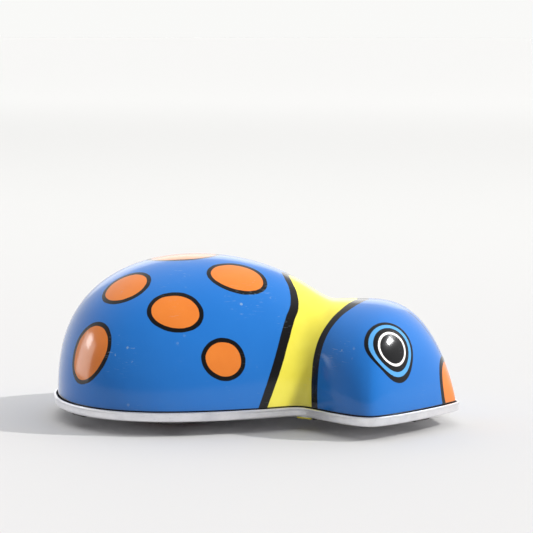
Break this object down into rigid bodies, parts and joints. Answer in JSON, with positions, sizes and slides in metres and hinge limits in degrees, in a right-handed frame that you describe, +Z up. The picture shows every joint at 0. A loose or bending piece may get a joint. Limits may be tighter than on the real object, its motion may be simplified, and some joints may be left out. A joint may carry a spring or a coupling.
{
  "type": "wind-up tin toy",
  "caption": "Wind-up tin beetle: printed domed shell on a flat pan, spring motor with gear train, wheels, front roller and side key.",
  "frame": {"origin": "on the ground, under the middle of the toy's length and width", "axes": "+X towards the nose, +Y to the toy's left where the key is, +Z up"},
  "size_m": [0.0914, 0.061, 0.0361],
  "materials": {
    "printed_tin": "gloss printed lacquer",
    "bare_tin": "bare tinplate, slightly dull",
    "steel": "plain stamped steel",
    "spring_steel": "blued spring steel",
    "brass": "stamped brass",
    "red_plastic": "satin dark red",
    "key_steel": "nickel plated"
  },
  "bodies": {
    "toy": {"shell": "printed_tin", "base_pan": "bare_tin", "frame_plate_left": "steel", "frame_plate_right": "steel", "frame_pillars": "steel", "frame_rivets": "steel", "mainspring": "spring_steel", "pallet_pin": "steel", "front_bracket": "bare_tin", "bracket_rivets": "steel", "front_axle": "steel"},
    "drive": {"drive_axle": "steel", "drive_pinion": "brass", "drive_wheel_left": "red_plastic", "drive_wheel_right": "red_plastic"},
    "second": {"second_arbor": "steel", "second_wheel": "brass"},
    "great": {"great_wheel": "brass", "click_rivet": "steel", "click_spring": "spring_steel"},
    "click": {"click": "spring_steel"},
    "winder": {"winding_shaft": "steel", "ratchet_wheel": "steel", "key": "key_steel", "key_rivet": "key_steel"},
    "escape": {"escape_arbor": "steel", "escape_wheel": "brass"},
    "pallet": {"pallet": "steel"},
    "roller": {"front_roller": "red_plastic"}
  },
  "joints": [
    {"name": "drive_spin", "type": "hinge", "parent": "toy", "child": "drive", "pos_m": [-0.017, 0, 0.0095], "axis": [0, 1, 0], "continuous": true},
    {"name": "second_spin", "type": "hinge", "parent": "toy", "child": "second", "pos_m": [-0.02021, 0, 0.02106], "axis": [0, 1, 0], "continuous": true},
    {"name": "great_spin", "type": "hinge", "parent": "toy", "child": "great", "pos_m": [-0.0075, 0, 0.0175], "axis": [0, 1, 0], "continuous": true},
    {"name": "click_rock", "type": "hinge", "parent": "great", "child": "click", "pos_m": [-0.0001, 0, 0.0175], "axis": [0, 1, 0], "range_deg": [0, 3]},
    {"name": "key_wind", "type": "hinge", "parent": "great", "child": "winder", "pos_m": [-0.0075, 0, 0.0175], "axis": [0, -1, 0], "range_deg": [0, 1890]},
    {"name": "escape_spin", "type": "hinge", "parent": "toy", "child": "escape", "pos_m": [-0.03092, 0, 0.01716], "axis": [0, 1, 0], "continuous": true},
    {"name": "pallet_rock", "type": "hinge", "parent": "toy", "child": "pallet", "pos_m": [-0.03212, 0, 0.01026], "axis": [0, 1, 0], "range_deg": [-3, 3]},
    {"name": "roller_spin", "type": "hinge", "parent": "toy", "child": "roller", "pos_m": [0.026, 0, 0.0045], "axis": [0, 1, 0], "continuous": true}
  ],
  "couplings": [
    {"joint": "second_spin", "follows": "drive_spin", "ratio": -0.33333},
    {"joint": "great_spin", "follows": "drive_spin", "ratio": 0.098039},
    {"joint": "escape_spin", "follows": "drive_spin", "ratio": 1.25}
  ]
}
